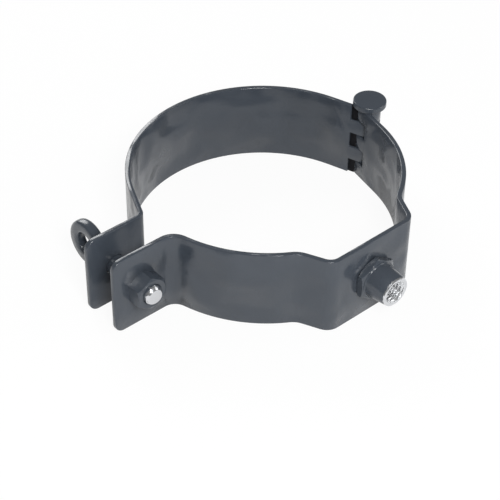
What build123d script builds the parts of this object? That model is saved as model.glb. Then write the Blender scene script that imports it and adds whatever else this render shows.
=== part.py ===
from build123d import *
from math import acos, atan2, cos, degrees, hypot, radians, sin, sqrt
import os

os.makedirs("parts", exist_ok=True)

# Frame: origin on the pipe axis at the lower edge plane, +X to the hinge, -Y along the boss, +Z up.

# strip and bore
band_width = 35.0          # height of both half bands
pipe_radius = 55.0         # inner radius of both half bands
strip = 2.0                # sheet thickness
fold = 1.5                 # radius on the hollow side of a fold

# ears
ear_reach = 30.4           # from the pipe to the free end of both ears
front_gap = 7.8            # from the pipe axis to the front ear's gap face
rear_gap = 6.6             # from the pipe axis to the rear ear's gap face
ear_corner = 4.0           # rounding of the ears' free corners
ear_fold = 2.0             # hollow side of the fold between ear and band
front_leave = 16.0         # angle before the ear side where the band runs straight to the ear
rear_leave = 24.0

# boss seat folded out of the front band
seat_rise = 8.0            # from the pipe to the seat's outer face
seat_half = 21.5           # half length over the outer corners
seat_leg_angle = 29.0      # where the legs leave the band, from the boss axis

# hinge
pin_reach = 7.0            # from the pipe to the pin axis, along X
pin_y = 3.0
pin_radius = 3.0
pin_play = 0.05            # radial running clearance in the knuckles
knuckles = 5               # the front half has every other one, from the top
knuckle_play = 0.4         # axial gap between neighbouring knuckles
roll_angle = 300.0         # how far each knuckle is rolled round the pin
front_window = 0.6         # from a knuckle to the shoulder of the other half
rear_window = 1.8
head_over = 2.1            # pin head over the knuckles, all round
head_height = 2.8
head_edge = 0.6
pin_tail = 0.4             # height of the pin's lower end above the lower edge plane

# clamp bolt with eye
bolt_inset = 13.4          # from the free ends of the ears to the bolt axis
bolt_radius = 4.0          # M8
bolt_end = 2.1             # bolt end beyond the nut
tip_edge = 0.8
eye_gap = 6.0              # free shank between rear ear and eye
eye_hole = 4.7
eye_wall = 5.3
eye_width = 5.0
eye_edge = 0.8
ear_hole_play = 0.5        # radial play of the bolt in the ear holes
slot_reach = 1.5           # the front ear's hole is this much longer on each side

# hexagons of nut and boss, M8
hex_flats = 13.0
nut_height = 6.5
nut_play = 0.05            # radial play standing in for the nut's thread

# boss
boss_hex_height = 5.5
boss_neck = 8.5            # round neck beyond the hexagon
boss_bore = 4.0            # M8
boss_wall = 1.5
boss_floor = 1.5           # from the seat to the bottom of the bore
boss_edge = 0.5

mid_z = band_width / 2
outer_radius = pipe_radius + strip
roll_bore = pin_radius + pin_play
roll_radius = roll_bore + strip
head_radius = roll_radius + head_over
pitch = band_width / knuckles
pin_x = pipe_radius + pin_reach
pin_distance = hypot(pin_x, pin_y)
lead_angle = degrees(acos((pipe_radius + roll_radius) / pin_distance))
lead_length = pin_distance * sin(radians(lead_angle))

ear_tip_x = -pipe_radius - ear_reach
bolt_x = ear_tip_x + bolt_inset
nut_face_y = -front_gap - strip
bolt_tip_y = nut_face_y - nut_height - bolt_end
eye_radius = eye_hole + eye_wall
eye_y = rear_gap + strip + eye_gap + eye_radius
seat_face_y = -pipe_radius - seat_rise
boss_end_y = seat_face_y - boss_hex_height - boss_neck


def polar(radius, angle):
    return Vector(radius * cos(radians(angle)), radius * sin(radians(angle)))


def angle_of(point):
    return degrees(atan2(point.Y, point.X))


def band_arc(start, end):
    """Arc about the pipe axis between two points at the same radius, the short way round."""
    first, last = angle_of(start), angle_of(end)
    turn = (last - first + 180) % 360 - 180
    return CenterArc((0, 0), start.length, first, turn)


def near(face, point):
    return face.vertices().sort_by(lambda v: hypot(v.X - point.X, v.Y - point.Y))[0]


def rounded(face, corners):
    """Plan fillets, given as (point, radius)."""
    for point, radius in corners:
        face = fillet(near(face, point), radius)
    return face


def lead(side, length):
    """Straight run from the band towards the pin: its four corners, inner face first."""
    angle = degrees(atan2(pin_y, pin_x)) + side * lead_angle
    out = polar(1, angle)
    along = Vector(side * out.Y, -side * out.X)
    start = out * pipe_radius
    return start, start + along * length, start + along * length + out * strip, start + out * strip


def setback(window):
    """From the pin's foot to a shoulder that stays clear of the other half's knuckles."""
    return sqrt((roll_radius + window) ** 2 - roll_bore**2)


def ear_foot(gap, side, leave):
    """Straight run from band to ear: its inner and outer start on the band and end at the ear."""
    angle = 180 - side * leave
    out = polar(1, angle)
    along = Vector(-side * out.Y, side * out.X)
    start, start_out = out * pipe_radius, out * outer_radius
    inner = start + along * ((side * gap - start.Y) / along.Y)
    outer = start_out + along * ((side * (gap + strip) - start_out.Y) / along.Y)
    return start, start_out, inner, outer


def seat_leg():
    """Right leg of the seat: outer foot, outer corner, inner corner, inner foot."""
    foot = polar(outer_radius, seat_leg_angle - 90)
    corner = Vector(seat_half, seat_face_y)
    along = (corner - foot).normalized()
    base = foot + Vector(along.Y, -along.X) * strip
    lean = base.dot(along)
    rise = sqrt(lean**2 - base.dot(base) + pipe_radius**2) - lean
    drop = (seat_face_y + strip - base.Y) / along.Y
    return foot, corner, base + along * drop, base + along * rise


def flip(point):
    return Vector(-point.X, point.Y)


def front_plan():
    """Ear, band, boss seat and straight run of the front half."""
    leave, leave_out, inner, outer = ear_foot(front_gap, -1, front_leave)
    foot, corner, corner_in, foot_in = seat_leg()
    start, end, end_out, start_out = lead(-1, lead_length - setback(front_window))
    tip, tip_out = Vector(ear_tip_x, inner.Y), Vector(ear_tip_x, outer.Y)
    face = make_face([
        Polyline(tip, inner, leave), band_arc(leave, flip(foot_in)),
        Polyline(flip(foot_in), flip(corner_in), corner_in, foot_in),
        band_arc(foot_in, start), Polyline(start, end, end_out, start_out),
        band_arc(start_out, foot), Polyline(foot, corner, flip(corner), flip(foot)),
        band_arc(flip(foot), leave_out), Polyline(leave_out, outer, tip_out, tip),
    ])
    folds = [(inner, ear_fold + strip), (outer, ear_fold)]
    for turn in (lambda p: p, flip):
        folds += [(turn(corner), fold + strip), (turn(corner_in), fold)]
        folds += [(turn(foot), fold), (turn(foot_in), fold + strip)]
    return rounded(face, folds)


def rear_plan():
    """Ear, band and straight run of the rear half."""
    leave, leave_out, inner, outer = ear_foot(rear_gap, 1, rear_leave)
    start, end, end_out, start_out = lead(1, lead_length - setback(rear_window))
    tip, tip_out = Vector(ear_tip_x, inner.Y), Vector(ear_tip_x, outer.Y)
    top_in, top_out = Vector(0, pipe_radius), Vector(0, outer_radius)
    face = make_face([
        Polyline(tip, inner, leave), band_arc(leave, top_in), band_arc(top_in, start),
        Polyline(start, end, end_out, start_out),
        band_arc(start_out, top_out), band_arc(top_out, leave_out),
        Polyline(leave_out, outer, tip_out, tip),
    ])
    return rounded(face, [(inner, ear_fold + strip), (outer, ear_fold)])


def knuckle_plan(side):
    """Straight run and roll of one knuckle."""
    start, end, end_out, start_out = lead(side, lead_length)
    pin = Vector(pin_x, pin_y)
    first = angle_of(end - pin)
    turn = side * roll_angle
    last = first + turn
    outside = CenterArc((pin_x, pin_y), roll_radius, first, turn)
    inside = CenterArc((pin_x, pin_y), roll_bore, first, turn)
    roll = make_face([
        outside, Line(pin + polar(roll_radius, last), pin + polar(roll_bore, last)),
        inside, Line(pin + polar(roll_bore, first), pin + polar(roll_radius, first)),
    ])
    run = make_face(Polyline(start, end, end_out, start_out, close=True))
    return roll + run


def knuckle_rows(side, first):
    """Knuckles of one half, counted from the top."""
    plan = knuckle_plan(side)
    rows = []
    for row in range(first, knuckles, 2):
        top = band_width - row * pitch - (knuckle_play / 2 if row > 0 else 0)
        low = band_width - (row + 1) * pitch + (knuckle_play / 2 if row < knuckles - 1 else 0)
        rows.append(Pos(0, 0, low) * extrude(plan, top - low))
    return rows


def half(plan, side, first, hole):
    """One half band: strip, knuckles, bolt hole and rounded ear corners."""
    body = extrude(plan, band_width)
    for row in knuckle_rows(side, first):
        body += row
    ends = body.edges().filter_by(Axis.Y).group_by(Axis.X)[0]
    return fillet(ends, ear_corner) - hole


def ear_hole(reach):
    """Cutter along Y through both ears, long along X by reach on each side."""
    radius = bolt_radius + ear_hole_play
    plan = SlotOverall(2 * (radius + reach), 2 * radius) if reach > 0 else Circle(radius)
    reach_y = front_gap + rear_gap + strip
    return Plane((bolt_x, 0, mid_z), x_dir=(1, 0, 0), z_dir=(0, 1, 0)) * extrude(plan, reach_y, both=True)


def hexagon(height, axis_x, base_y):
    """Hexagonal prism growing along -Y with its corners turned off at the free end."""
    plane = Plane((axis_x, base_y, mid_z), x_dir=(1, 0, 0), z_dir=(0, -1, 0))
    prism = extrude(plane * RegularPolygon(hex_flats / 2, 6, major_radius=False), height)
    cone = Cone(hex_flats / 2 + 2 * height, hex_flats / 2 * 0.97, height * 1.15)
    return prism & (plane * Pos(0, 0, height * 1.15 / 2) * cone)


def round_bar(radius, axis_x, start_y, end_y):
    """Cylinder along Y from start_y towards -Y."""
    plane = Plane((axis_x, start_y, mid_z), x_dir=(1, 0, 0), z_dir=(0, -1, 0))
    return extrude(plane * Circle(radius), start_y - end_y)


def hinge_pin():
    shank = Pos(pin_x, pin_y, (band_width + pin_tail) / 2) * Cylinder(pin_radius, band_width - pin_tail)
    head = Pos(pin_x, pin_y, band_width + head_height / 2) * Cylinder(head_radius, head_height)
    head = fillet(head.edges().filter_by(GeomType.CIRCLE), head_edge)
    return chamfer((shank + head).edges().group_by(Axis.Z)[0], head_edge)


def boss():
    base = hexagon(boss_hex_height, 0, seat_face_y)
    barrel = round_bar(boss_bore + boss_wall, 0, seat_face_y, boss_end_y)
    barrel = chamfer(barrel.edges().group_by(Axis.Y)[0], boss_edge)
    bore = round_bar(boss_bore, 0, seat_face_y - boss_floor, boss_end_y)
    return base + barrel - bore


def eye_bolt():
    ring = extrude(Plane.YZ * Circle(eye_radius), eye_width / 2, both=True)
    ring = chamfer(ring.edges().filter_by(GeomType.CIRCLE), eye_edge)
    ring = Pos(bolt_x, eye_y, mid_z) * ring
    shank = round_bar(bolt_radius, bolt_x, eye_y, bolt_tip_y)
    shank = chamfer(shank.edges().group_by(Axis.Y)[0], tip_edge)
    hole = extrude(Plane((bolt_x, eye_y, mid_z), z_dir=(1, 0, 0)) * Circle(eye_hole), eye_radius, both=True)
    return ring + shank - hole


def nut():
    body = hexagon(nut_height, bolt_x, nut_face_y)
    return body - round_bar(bolt_radius + nut_play, bolt_x, nut_face_y, nut_face_y - nut_height)


export_step(half(front_plan(), -1, 0, ear_hole(slot_reach)), "parts/front_band.step")
export_step(half(rear_plan(), 1, 1, ear_hole(0)), "parts/rear_band.step")
export_step(hinge_pin(), "parts/hinge_pin.step")
export_step(boss(), "parts/threaded_boss.step")
export_step(eye_bolt(), "parts/eye_bolt.step")
export_step(nut(), "parts/clamp_nut.step")
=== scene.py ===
import bpy
import bmesh
import math
from mathutils import Matrix, Vector


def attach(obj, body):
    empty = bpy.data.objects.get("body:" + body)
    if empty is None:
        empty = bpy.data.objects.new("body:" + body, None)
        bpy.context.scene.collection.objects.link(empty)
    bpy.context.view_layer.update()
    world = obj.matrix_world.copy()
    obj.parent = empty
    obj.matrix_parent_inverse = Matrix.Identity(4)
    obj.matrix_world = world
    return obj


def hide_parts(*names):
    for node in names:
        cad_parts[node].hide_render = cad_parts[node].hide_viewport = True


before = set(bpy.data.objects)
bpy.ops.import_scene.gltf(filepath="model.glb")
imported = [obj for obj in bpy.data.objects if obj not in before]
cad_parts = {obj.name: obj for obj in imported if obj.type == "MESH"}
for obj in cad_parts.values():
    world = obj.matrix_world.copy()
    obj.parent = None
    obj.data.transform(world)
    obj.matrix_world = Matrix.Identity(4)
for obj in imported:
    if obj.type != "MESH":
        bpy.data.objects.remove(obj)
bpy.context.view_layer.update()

MM = 0.001
TAU = 2 * math.pi

# ---------------------------------------------------------------- sizes, in mm

# Both half bands, as in the solids. Angles are in degrees.
MID_Z = 17.5
PIPE_R, STRIP, BAND_H = 55.0, 2.0, 35.0
FRONT_EAR_Y, FRONT_LEAVE_ANGLE = -9.8, 16.0
SEAT_Y, SEAT_HALF, SEAT_LEG_ANGLE = -63.0, 21.5, 29.0
PIN_X, PIN_Y = 62.0, 3.0
ROLL_R, ROLL_BORE, REAR_WINDOW = 5.05, 3.05, 1.8

# Folds of the front band: their radius in the solids, and what the photograph adds to it.
EAR_FOLD, EAR_SOFTER = 2.0, 4.0
SEAT_FOLD, SEAT_SOFTER = 3.5, 3.0
FOOT_FOLD, FOOT_SOFTER = 1.5, 6.5
FOLD_REACH = 4.2            # every round face of a fold is nearer to its centre than this
FOLD_SLACK = 0.02           # radians that a fold's points may lie past its ends

# Clamp nut, as in its solid. Its bore is plain and flares at both ends.
NUT_FACE_Y, NUT_H, NUT_HEX_R = -9.8, 6.5, 6.5
NUT_PLAY = 0.1              # radial room round the bolt
NUT_FLARE, NUT_FLARE_SLOPE = 0.5, 0.9
NUT_BORE_LEVELS = 60

# Eye bolt, with its solid's places and outer sizes. Heights are measured from the tip.
BOLT_X, BOLT_TIP_Y, BOLT_R = -72.0, -18.4, 4.0
TIP_CENTRE_R, TIP_FACE_R, TIP_EDGE, TIP_CHAMFER = 0.4, 2.9, 0.1, 0.9
BOLT_PITCH, BOLT_THREAD, THREAD_END = 1.25, 0.62, 15.0
FADE_START, FADE_IN, FADE_OUT = 0.3, 0.9, 1.5
THREAD_RUNOUT = 0.6
NECK_CONE, NECK_START, NECK_R = 22.0, 22.6, 4.38
NECK_SHORT = 1.0            # the neck ends this far before the shank's end
SHANK_SHORT = 4.0           # the shank ends this far before the eye's centre
EYE_Y, EYE_R, EYE_HOLE_R, EYE_W = 24.6, 10.0, 4.7, 5.0
EYE_SQUARENESS = 3.2        # exponent of the strap's rounded section

# Boss as the photograph shows it, stouter than its solid.
BOSS_HEX_R, BOSS_HEX_H, BOSS_ROOT_R, BOSS_R, BOSS_END_Y = 8.5, 3.5, 7.5, 6.4, -76.2
BOSS_CENTRE_R = 0.5
BOSS_FLARE_R, BOSS_FLARE_H = 0.3, 0.4
BOSS_RIM = ((0.6, 0.0), (0.2, 0.15), (0.0, 0.5))    # distance from the end, and inset
BOSS_BORE_R, BOSS_BORE_DEPTH, BOSS_PITCH, BOSS_THREAD = 5.0, 11.5, 1.5, 0.75
BOSS_PLAIN_BORE = 1.0       # bore beyond the end of the thread
BOSS_MOUTH, BOSS_MOUTH_SLOPE = 0.45, 2.2
BORE_SLACK, BORE_FLOOR = 0.02, 1.0                  # limits of the faces that count as bore

# Thread form, as shares of half a pitch: flat crest, then the flank.
CREST_SHARE, FLANK_SHARE = 0.12, 0.76

# Turned corners of both hexagons: radius at the end over that of the flats, and rise per mm.
CORNER_SHARE, CORNER_SLOPE = 0.975, 1.75
CORNER_STEPS = [0, 0.12, 0.3, 0.55, 0.85, 1.2]

# Lips of painted shade in the hinge's windows, near black where only shade shows: Z of each row,
# and depths from the band's inner face.
SHADE_LIP_ROWS = ((0.1, 7.3), (13.7, 21.3), (27.7, BAND_H - 0.1))
SHADE_LIP_NEAR, SHADE_LIP_FAR = 1.0, 1.95
SHADE_LIP_CLEAR, SHADE_LIP_OVERLAP = 0.15, 0.5

# Points round a ring of most pieces, of the bolt's shank, and round the eye's section.
RING_POINTS, SHANK_POINTS, SECTION_POINTS = 72, 64, 28
RINGS_PER_TURN = 10         # of a thread

# Mesh clean-up: distances in metres, angles in degrees.
MERGE, MERGE_CAD = 1e-7, 2e-6
FLAT_ANGLE, EDGE_ANGLE, EDGE_SEGMENTS = 0.4, 35, 2
SMOOTH_ANGLE, SMOOTH_EYE, SMOOTH_HEX = 40, 38, 28

# Width of the rounding along sheared edges, in mm.
SHEET_EDGE, PIN_EDGE = 0.3, 0.15


# ---------------------------------------------------------------- materials

PAINT, PAINT_PALE, SPECK = (0.044, 0.053, 0.067), (0.056, 0.066, 0.081), (0.13, 0.14, 0.15)
ZINC, ZINC_DARK, ZINC_BRIGHT = (0.70, 0.71, 0.73), (0.62, 0.63, 0.65), (0.86, 0.87, 0.88)
# Painted shade: near-black colours of the window lips, standing in for the shade seen through
# the hinge's windows.
SHADE_BLACK, SHADE_GREY = (0.003, 0.003, 0.004), (0.010, 0.010, 0.012)
FLOOR, WHITE = (0.92, 0.92, 0.92), (1, 1, 1)
FLOOR_SEEN, FLOOR_MIRRORED = 0.93, 0.45     # share of plain white, to the camera and in gloss
PAINT_RAGGED = 1.4                          # mm by which the paint's edge wanders
BARE_TIP, BARE_RIM = 2.0, 0.7               # mm of bare zinc on the bolt and on the boss

MIX_A, MIX_B, MIX_OUT = 6, 7, 2             # colour sockets of the Mix node


class Nodes:
    """A few helpers to write a node tree in plain lines."""

    def __init__(self, name):
        self.mat = bpy.data.materials.new(name)
        self.mat.use_nodes = True
        self.tree = self.mat.node_tree
        self.tree.nodes.clear()

    def add(self, kind, inputs=(), **settings):
        """Node whose inputs, by name or number, take a value, a colour or another's output."""
        node = self.tree.nodes.new(kind)
        for key, value in settings.items():
            setattr(node, key, value)
        for key, value in dict(inputs).items():
            if isinstance(value, bpy.types.NodeSocket):
                self.tree.links.new(value, node.inputs[key])
            elif isinstance(value, tuple):
                node.inputs[key].default_value = (*value, 1)
            else:
                node.inputs[key].default_value = value
        return node

    def coords(self):
        """Object coordinates in mm."""
        own = self.add("ShaderNodeTexCoord").outputs["Object"]
        mapping = self.add("ShaderNodeMapping", {"Vector": own, "Scale": [1 / MM] * 3})
        return mapping.outputs["Vector"]

    def noise(self, vector, scale, detail=3.0, rough=0.5):
        """Noise from 0 to 1; its scale is per mm."""
        inputs = {"Vector": vector, "Scale": scale, "Detail": detail, "Roughness": rough}
        return self.add("ShaderNodeTexNoise", inputs).outputs["Fac"]

    def ramp(self, fac, places, greys):
        """Grey that runs from the first to the second of greys between the two places."""
        node = self.add("ShaderNodeValToRGB", {"Fac": fac})
        for stop, position, grey in zip(node.color_ramp.elements, places, greys):
            stop.position = position
            stop.color = (grey, grey, grey, 1)
        return node.outputs["Color"]

    def math(self, operation, a, b):
        return self.add("ShaderNodeMath", {0: a, 1: b}, operation=operation).outputs[0]

    def mix(self, factor, a, b):
        inputs = {"Factor": factor, MIX_A: a, MIX_B: b}
        return self.add("ShaderNodeMix", inputs, data_type="RGBA").outputs[MIX_OUT]

    def bump(self, height, strength, distance, normal=None):
        """Bump of the given distance in metres, over another normal if one is given."""
        inputs = {"Height": height, "Strength": strength, "Distance": distance}
        if normal is not None:
            inputs["Normal"] = normal
        return self.add("ShaderNodeBump", inputs).outputs["Normal"]

    def finish(self, shader):
        self.add("ShaderNodeOutputMaterial", {"Surface": shader.outputs[0]})
        return self.mat


def paint_material(name, bare_below=None):
    """Glossy grey paint on sheet steel. Below the given Y (mm) the zinc shows bare."""
    n = Nodes(name)
    at = n.coords()
    patches = n.mix(n.noise(at, scale=0.06), PAINT, PAINT_PALE)
    spots = n.noise(at, scale=1.1, detail=5.0, rough=0.7)
    specks = n.ramp(spots, places=(0.70, 0.76), greys=(0.0, 0.5))
    waves = n.bump(n.noise(at, scale=0.035, detail=1.5), strength=0.8, distance=0.012)
    grain = n.noise(at, scale=0.9, detail=2.0)
    mottle = n.noise(at, scale=1.6, detail=4.0, rough=0.6)
    inputs = {
        "Base Color": n.mix(specks, patches, SPECK),
        "Roughness": n.ramp(mottle, places=(0.3, 0.75), greys=(0.16, 0.28)),
        "IOR": 1.45,
        "Coat Weight": 0.2,
        "Coat Roughness": 0.05,
        "Normal": n.bump(grain, strength=0.12, distance=0.0003, normal=waves),
    }
    if bare_below is not None:
        along = n.add("ShaderNodeSeparateXYZ", {0: at}).outputs["Y"]
        wander = n.math("MULTIPLY", n.noise(at, scale=0.9), PAINT_RAGGED)
        edge = n.math("ADD", along, wander)
        bare = n.math("LESS_THAN", edge, bare_below + PAINT_RAGGED / 2)
        inputs["Metallic"] = bare
        inputs["Base Color"] = n.mix(bare, inputs["Base Color"], ZINC)
    return n.finish(n.add("ShaderNodeBsdfPrincipled", inputs))


def zinc_material():
    n = Nodes("zinc")
    at = n.coords()
    mottle = n.noise(at, scale=1.2, detail=4.0, rough=0.6)
    return n.finish(n.add("ShaderNodeBsdfPrincipled", {
        "Base Color": n.mix(n.noise(at, scale=0.5, detail=4.0), ZINC_DARK, ZINC_BRIGHT),
        "Metallic": 1.0,
        "Roughness": n.ramp(mottle, places=(0.3, 0.8), greys=(0.22, 0.42)),
        "Normal": n.bump(n.noise(at, scale=2.0), strength=0.2, distance=0.0002),
    }))


def painted_shade_material():
    """Painted shade: dull, nearly black colour on the lips in the hinge's windows, in place of
    the shade seen through them.
    """
    n = Nodes("window_shade_paint")
    at = n.coords()
    return n.finish(n.add("ShaderNodeBsdfPrincipled", {
        "Base Color": n.mix(n.noise(at, scale=0.8), SHADE_BLACK, SHADE_GREY),
        "Roughness": n.ramp(n.noise(at, scale=1.5), places=(0.3, 0.8), greys=(0.6, 0.85)),
        "Specular IOR Level": 0.15,
    }))


def floor_material():
    """Pale floor: near white to the camera and in gloss, and it keeps the object's shadow."""
    n = Nodes("floor")
    path = n.add("ShaderNodeLightPath").outputs
    seen = n.math("MULTIPLY", path["Is Camera Ray"], FLOOR_SEEN)
    seen = n.math("ADD", seen, n.math("MULTIPLY", path["Is Glossy Ray"], FLOOR_MIRRORED))
    shaded = n.add("ShaderNodeBsdfDiffuse", {"Color": FLOOR}).outputs[0]
    plain = n.add("ShaderNodeEmission", {"Color": WHITE}).outputs[0]
    return n.finish(n.add("ShaderNodeMixShader", {0: seen, 1: shaded, 2: plain}))


# ---------------------------------------------------------------- mesh helpers

def make_object(name, verts, faces, smooth=SMOOTH_ANGLE):
    mesh = bpy.data.meshes.new(name)
    mesh.from_pydata(verts, [], faces)
    bm = bmesh.new()
    bm.from_mesh(mesh)
    bmesh.ops.remove_doubles(bm, verts=bm.verts, dist=MERGE)
    bmesh.ops.recalc_face_normals(bm, faces=bm.faces)
    bm.to_mesh(mesh)
    bm.free()
    obj = bpy.data.objects.new(name, mesh)
    bpy.context.scene.collection.objects.link(obj)
    smooth_by_angle(obj, smooth)
    return obj


def smooth_by_angle(obj, degrees):
    obj.data.polygons.foreach_set("use_smooth", [True] * len(obj.data.polygons))
    obj.data.set_sharp_from_angle(angle=math.radians(degrees))


def apply_modifiers(obj):
    depsgraph = bpy.context.evaluated_depsgraph_get()
    mesh = bpy.data.meshes.new_from_object(obj.evaluated_get(depsgraph))
    obj.modifiers.clear()
    obj.data = mesh


def union(target, other):
    mod = target.modifiers.new("union", "BOOLEAN")
    mod.operation = "UNION"
    mod.solver = "EXACT"
    mod.object = other
    bpy.context.view_layer.update()
    apply_modifiers(target)


def place(obj, body, node):
    """The object rides on the body and stands for the CAD node."""
    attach(obj, body)
    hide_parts(node)


def climb(start, end, step):
    """Values one step apart, from start and not past end."""
    while start <= end:
        yield start
        start += step


def tube(rings, cap_first=False, cap_last=False, loop=False):
    """Verts and faces of a stack of closed rings."""
    count = len(rings[0])
    verts = [v for ring in rings for v in ring]
    faces = []
    pairs = list(zip(range(len(rings) - 1), range(1, len(rings))))
    if loop:
        pairs.append((len(rings) - 1, 0))
    for a, b in pairs:
        for i in range(count):
            j = (i + 1) % count
            faces.append((a * count + i, a * count + j, b * count + j, b * count + i))
    if cap_first:
        faces.append(tuple(range(count))[::-1])
    if cap_last:
        faces.append(tuple(range((len(rings) - 1) * count, len(rings) * count)))
    return verts, faces


def ring_y(x, y, radius, count=RING_POINTS):
    """Ring about a Y axis at mid height; radius is a number or a function of the angle."""
    out = []
    for i in range(count):
        a = TAU * i / count
        r = radius(a) if callable(radius) else radius
        out.append(((x + r * math.cos(a)) * MM, y * MM, (MID_Z + r * math.sin(a)) * MM))
    return out


def hex_radius(a, flats):
    return flats / math.cos((a + math.pi / 6) % (math.pi / 3) - math.pi / 6)


def hex_rings(x, y0, height, flats, both_ends):
    """Rings of a hexagon from y0 towards -Y, its corners turned off at the far end or both."""
    rings = []
    for h in CORNER_STEPS + [height - step for step in CORNER_STEPS[::-1]]:
        cut = flats * CORNER_SHARE + (height - h) * CORNER_SLOPE
        if both_ends:
            cut = min(cut, flats * CORNER_SHARE + h * CORNER_SLOPE)
        rings.append(ring_y(x, y0 - h, lambda a, cut=cut: min(hex_radius(a, flats), cut)))
    return rings


def thread_radius(a, along, crest, depth, pitch):
    """Radius of a thread at angle a and distance along the axis, crest outwards."""
    phase = (along / pitch - a / TAU) % 1.0
    rise = abs(2 * phase - 1)
    return crest - depth * min(1.0, max(0.0, (rise - CREST_SHARE) / FLANK_SHARE))


# ---------------------------------------------------------------- softer folds

def turned(degrees):
    a = math.radians(degrees)
    return Vector((math.cos(a), math.sin(a)))


def corner_fold(corner, normal_a, normal_b, radius, grow):
    """A fold between two flats: old and new centre, first normal, old and new second normal,
    and growth of the radius. The normals point to its hollow side."""
    step = (normal_a + normal_b) / (1 + normal_a.dot(normal_b))
    new = corner + step * (radius + grow)
    return corner + step * radius, new, normal_a, normal_b, normal_b, grow


def foot_fold(foot, normal, along, radius, grow):
    """The same between the round band and a leg that leaves it."""
    centres = []
    for r in (radius, radius + grow):
        across = foot.dot(normal) + r
        reach = math.sqrt((PIPE_R + STRIP + r) ** 2 - across**2)
        centres.append(normal * across + along * reach)
    old, new = centres
    return old, new, normal, old.normalized(), new.normalized(), grow


def front_folds():
    """The ear's fold, the seat's right corner and foot, and their mirror images."""
    out = turned(180 + FRONT_LEAVE_ANGLE)
    run = Vector((out.y, -out.x))
    start = out * (PIPE_R + STRIP)
    corner = start + run * ((FRONT_EAR_Y - start.y) / run.y)
    ear = corner_fold(corner, Vector((0, -1)), out, EAR_FOLD, EAR_SOFTER)

    foot = turned(SEAT_LEG_ANGLE - 90) * (PIPE_R + STRIP)
    corner = Vector((SEAT_HALF, SEAT_Y))
    along = (corner - foot).normalized()
    inward = Vector((along.y, -along.x))
    right = [corner_fold(corner, Vector((0, 1)), inward, SEAT_FOLD, SEAT_SOFTER),
             foot_fold(foot, -inward, along, FOOT_FOLD, FOOT_SOFTER)]
    left = []
    for *vectors, grow in right:
        left.append((*(Vector((-v.x, v.y)) for v in vectors), grow))
    return [ear, *right, *left]


def soften(mesh, folds):
    """Move the points of each fold's round faces out to its larger radius."""
    for vert in mesh.vertices:
        point = Vector((vert.co.x, vert.co.y)) / MM
        for old, new, a, b, new_b, grow in folds:
            arm = point - old
            if arm.length > FOLD_REACH:
                continue
            ray = arm.normalized()
            spread = a.angle(b) + FOLD_SLACK
            if ray.angle(-a) < spread and ray.angle(-b) < spread:
                share = min(1.0, ray.angle(-a) / a.angle(b))
                moved = new + (-a).slerp(-new_b, share) * (arm.length + grow)
                vert.co.x, vert.co.y = moved.x * MM, moved.y * MM
                break


# ---------------------------------------------------------------- pieces

paint = paint_material("paint")
bolt_paint = paint_material("bolt_paint", bare_below=BOLT_TIP_Y + BARE_TIP)
boss_paint = paint_material("boss_paint", bare_below=BOSS_END_Y + BARE_RIM)
zinc = zinc_material()
# Painted shade for the lips in the hinge's windows.
window_shade_paint = painted_shade_material()


def rounded_copy(node, body, width, folds=()):
    """Painted copy of a CAD node with its sheared edges slightly rounded."""
    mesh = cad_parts[node].data.copy()
    bm = bmesh.new()
    bm.from_mesh(mesh)
    bmesh.ops.remove_doubles(bm, verts=bm.verts, dist=MERGE_CAD)
    bmesh.ops.dissolve_limit(bm, angle_limit=math.radians(FLAT_ANGLE),
                             verts=bm.verts, edges=bm.edges)
    bm.to_mesh(mesh)
    bm.free()
    soften(mesh, folds)
    mesh.materials.clear()
    mesh.materials.append(paint)
    obj = bpy.data.objects.new(node + "_rounded", mesh)
    bpy.context.scene.collection.objects.link(obj)
    bevel = obj.modifiers.new("edge", "BEVEL")
    bevel.width = width * MM
    bevel.segments = EDGE_SEGMENTS
    bevel.limit_method = "ANGLE"
    bevel.angle_limit = math.radians(EDGE_ANGLE)
    apply_modifiers(obj)
    smooth_by_angle(obj, SMOOTH_ANGLE)
    place(obj, body, node)


def build_nut():
    rings = hex_rings(BOLT_X, NUT_FACE_Y, NUT_H, NUT_HEX_R, both_ends=False)
    for level in range(NUT_BORE_LEVELS, -1, -1):
        h = NUT_H * level / NUT_BORE_LEVELS
        flare = max(0.0, NUT_FLARE - min(h, NUT_H - h)) * NUT_FLARE_SLOPE
        rings.append(ring_y(BOLT_X, NUT_FACE_Y - h, BOLT_R + NUT_PLAY + flare))
    obj = make_object("nut_body", *tube(rings, loop=True), smooth=SMOOTH_HEX)
    obj.data.materials.append(paint)
    place(obj, "nut", "clamp_nut")


def build_eye_bolt():
    """Threaded shank joined to its eye. The thicker neck fills the rear ear's hole."""
    length = EYE_Y - SHANK_SHORT - BOLT_TIP_Y
    profile = [(0.0, TIP_CENTRE_R), (0.0, TIP_FACE_R)]
    for h in climb(TIP_EDGE, THREAD_END, BOLT_PITCH / RINGS_PER_TURN):
        fade_in = max(0.0, (h - FADE_START) / FADE_IN)
        fade_out = max(0.0, (THREAD_END - h) / FADE_OUT)
        depth = BOLT_THREAD * min(1.0, fade_in, fade_out)
        cap = BOLT_R - TIP_CHAMFER * max(0.0, 1 - h / TIP_CHAMFER)
        profile.append((h, lambda a, h=h, depth=depth, cap=cap: min(
            cap, thread_radius(a, h, BOLT_R, depth, BOLT_PITCH))))
    profile += [(THREAD_END + THREAD_RUNOUT, BOLT_R), (NECK_CONE, BOLT_R), (NECK_START, NECK_R),
                (length - NECK_SHORT, NECK_R), (length, BOLT_R)]
    rings = [ring_y(BOLT_X, BOLT_TIP_Y + h, radius, SHANK_POINTS) for h, radius in profile]
    shank = make_object("shank", *tube(rings, cap_first=True, cap_last=True))
    eye = make_object("eye", *eye_mesh())
    union(eye, shank)
    bpy.data.objects.remove(shank)
    eye.name = "eye_bolt_body"
    smooth_by_angle(eye, SMOOTH_EYE)
    eye.data.materials.clear()
    eye.data.materials.append(bolt_paint)
    place(eye, "bolt", "eye_bolt")


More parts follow.
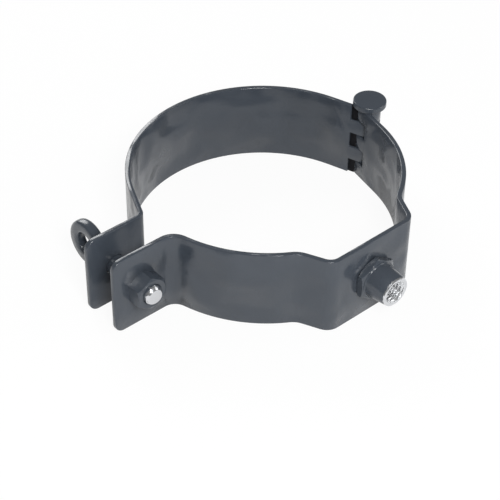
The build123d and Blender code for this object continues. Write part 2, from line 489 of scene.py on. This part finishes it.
def eye_mesh():
    """Ring of the eye: a rounded strap section turned about the X axis."""
    middle = (EYE_R + EYE_HOLE_R) / 2
    half_r = (EYE_R - EYE_HOLE_R) / 2
    half_w = EYE_W / 2
    section = []
    for i in range(SECTION_POINTS):
        a = TAU * i / SECTION_POINTS
        c, s = math.cos(a), math.sin(a)
        k = (abs(c) ** EYE_SQUARENESS + abs(s) ** EYE_SQUARENESS) ** (-1 / EYE_SQUARENESS)
        section.append((half_r * c * k, half_w * s * k))
    rings = []
    for i in range(RING_POINTS):
        a = TAU * i / RING_POINTS
        rings.append([((BOLT_X + w) * MM, (EYE_Y + (middle + r) * math.cos(a)) * MM,
                       (MID_Z + (middle + r) * math.sin(a)) * MM) for r, w in section])
    return tube(rings, loop=True)


def build_boss():
    """Hexagon, round barrel and threaded bore in one closed surface, its bore bare zinc."""
    rings = [ring_y(0, SEAT_Y, BOSS_CENTRE_R)]
    rings += hex_rings(0, SEAT_Y, BOSS_HEX_H, BOSS_HEX_R, both_ends=True)
    barrel_y = SEAT_Y - BOSS_HEX_H
    rings.append(ring_y(0, barrel_y, BOSS_ROOT_R + BOSS_FLARE_R))
    rings.append(ring_y(0, barrel_y - BOSS_FLARE_H, BOSS_ROOT_R))
    rings += [ring_y(0, BOSS_END_Y + h, BOSS_R - inset) for h, inset in BOSS_RIM]
    root = BOSS_BORE_R - BOSS_THREAD
    for h in climb(0.0, BOSS_BORE_DEPTH - BOSS_PLAIN_BORE, BOSS_PITCH / RINGS_PER_TURN):
        mouth = root + max(0.0, BOSS_MOUTH - h) * BOSS_MOUTH_SLOPE
        rings.append(ring_y(0, BOSS_END_Y + h, lambda a, h=h, mouth=mouth: max(
            mouth, thread_radius(a, h, BOSS_BORE_R, BOSS_THREAD, BOSS_PITCH))))
    rings.append(ring_y(0, BOSS_END_Y + BOSS_BORE_DEPTH, root))
    shape = tube(rings, cap_first=True, cap_last=True)
    obj = make_object("boss_body", *shape, smooth=SMOOTH_HEX)
    obj.data.materials.append(boss_paint)
    obj.data.materials.append(zinc)
    for face in obj.data.polygons:
        off_axis = math.hypot(face.center.x, face.center.z - MID_Z * MM)
        off_seat = face.center.y < (SEAT_Y - BORE_FLOOR) * MM
        if off_axis < (BOSS_BORE_R + BORE_SLACK) * MM and off_seat:
            face.material_index = 1
    place(obj, "front_half", "threaded_boss")


def build_window_shade_lips():
    """Thin set-back lips that close the windows between the rear band and the front knuckles.
    They carry painted shade, nearly black, where only shade shows through the windows.
    """
    reach = math.hypot(PIN_X, PIN_Y)
    lead_angle = math.acos((PIPE_R + ROLL_R) / reach)
    out = turned(math.degrees(math.atan2(PIN_Y, PIN_X) + lead_angle))
    along = Vector((out.y, -out.x))
    foot = out * PIPE_R + along * reach * math.sin(lead_angle)
    back = -math.sqrt((ROLL_R + REAR_WINDOW) ** 2 - ROLL_BORE**2) - SHADE_LIP_OVERLAP
    plan = [foot + along * back + out * SHADE_LIP_FAR, foot + along * back + out * SHADE_LIP_NEAR]
    for t in (SHADE_LIP_NEAR, SHADE_LIP_FAR):
        ahead = math.sqrt((ROLL_R + SHADE_LIP_CLEAR) ** 2 - (ROLL_R - t) ** 2)
        plan.append(foot - along * ahead + out * t)
    verts, faces = [], []
    for low, high in SHADE_LIP_ROWS:
        first = len(verts)
        verts += [(p.x * MM, p.y * MM, z * MM) for z in (low, high) for p in plan]
        faces += [tuple(first + i for i in (0, 1, 2, 3)), tuple(first + i for i in (7, 6, 5, 4))]
        for i in range(4):
            j = (i + 1) % 4
            faces.append((first + i, first + j, first + j + 4, first + i + 4))
    obj = make_object("window_shade_lips", verts, faces)
    # Near-black painted shade in place of the shade seen through the windows.
    obj.data.materials.append(window_shade_paint)
    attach(obj, "rear_half")


rounded_copy("front_band", "front_half", SHEET_EDGE, front_folds())
rounded_copy("rear_band", "rear_half", SHEET_EDGE)
rounded_copy("hinge_pin", "pin", PIN_EDGE)
build_nut()
build_eye_bolt()
build_boss()
build_window_shade_lips()


# ---------------------------------------------------------------- stage, in metres

FLOOR_HALF = 1.5
LIGHT_AIM = (0, 0, 0.01)
WORLD_LIGHT, WORLD_SEEN = 0.20, 1.0     # strength on the object, and to the camera


def build_floor():
    s = FLOOR_HALF
    corners = [(-s, -s, 0), (s, -s, 0), (s, s, 0), (-s, s, 0)]
    obj = make_object("floor", corners, [(0, 1, 2, 3)])
    obj.data.materials.append(floor_material())


def square_light(name, location, size, watts):
    light = bpy.data.lights.new(name, "AREA")
    light.shape = "SQUARE"
    light.size = size
    light.energy = watts
    obj = bpy.data.objects.new(name, light)
    obj.location = location
    aim = Vector(LIGHT_AIM) - Vector(location)
    obj.rotation_euler = aim.to_track_quat("-Z", "Y").to_euler()
    bpy.context.scene.collection.objects.link(obj)


def build_world():
    world = bpy.data.worlds.new("studio")
    bpy.context.scene.world = world
    world.use_nodes = True
    tree = world.node_tree
    background = tree.nodes["Background"]
    path = tree.nodes.new("ShaderNodeLightPath")
    mix = tree.nodes.new("ShaderNodeMix")
    mix.inputs["A"].default_value = WORLD_LIGHT
    mix.inputs["B"].default_value = WORLD_SEEN
    tree.links.new(path.outputs["Is Camera Ray"], mix.inputs["Factor"])
    tree.links.new(mix.outputs[0], background.inputs["Strength"])
    background.inputs["Color"].default_value = (*WHITE, 1)


def build_camera():
    """Camera at the photograph's viewing angle; azimuth 0 looks along +Y."""
    azimuth, elevation, roll = math.radians(-41.70), math.radians(40.29), math.radians(0.86)
    distance, sensor = 647.23, 36                       # mm
    focal, frame_px = 1566.9, 500                       # pixels
    target_x, target_y = 264.80, 198.70                 # pixels, where the band's middle shows
    back = Vector((math.sin(azimuth) * math.cos(elevation),
                   -math.cos(azimuth) * math.cos(elevation), math.sin(elevation)))
    level = (-back).cross(Vector((0, 0, 1))).normalized()
    upright = level.cross(-back)
    right = math.cos(roll) * level + math.sin(roll) * upright
    up = -math.sin(roll) * level + math.cos(roll) * upright
    shift_x = (target_x - frame_px / 2) / focal * distance
    shift_y = -(target_y - frame_px / 2) / focal * distance
    spot = (Vector((0, 0, MID_Z)) + back * distance - right * shift_x - up * shift_y) * MM
    data = bpy.data.cameras.new("camera")
    data.sensor_width = sensor
    data.lens = focal / frame_px * sensor
    data.clip_start = 0.01
    obj = bpy.data.objects.new("camera", data)
    facing = Matrix((right, up, back)).transposed().to_4x4()
    obj.matrix_world = Matrix.Translation(spot) @ facing
    bpy.context.scene.collection.objects.link(obj)
    bpy.context.scene.camera = obj


build_floor()
build_world()
square_light("key", (-0.28, -0.50, 0.55), size=0.22, watts=5.0)
square_light("right", (0.55, -0.45, 0.35), size=0.4, watts=1.2)
square_light("back", (0.15, 0.75, 0.45), size=0.5, watts=4.5)
build_camera()
bpy.context.scene.view_settings.view_transform = "Standard"
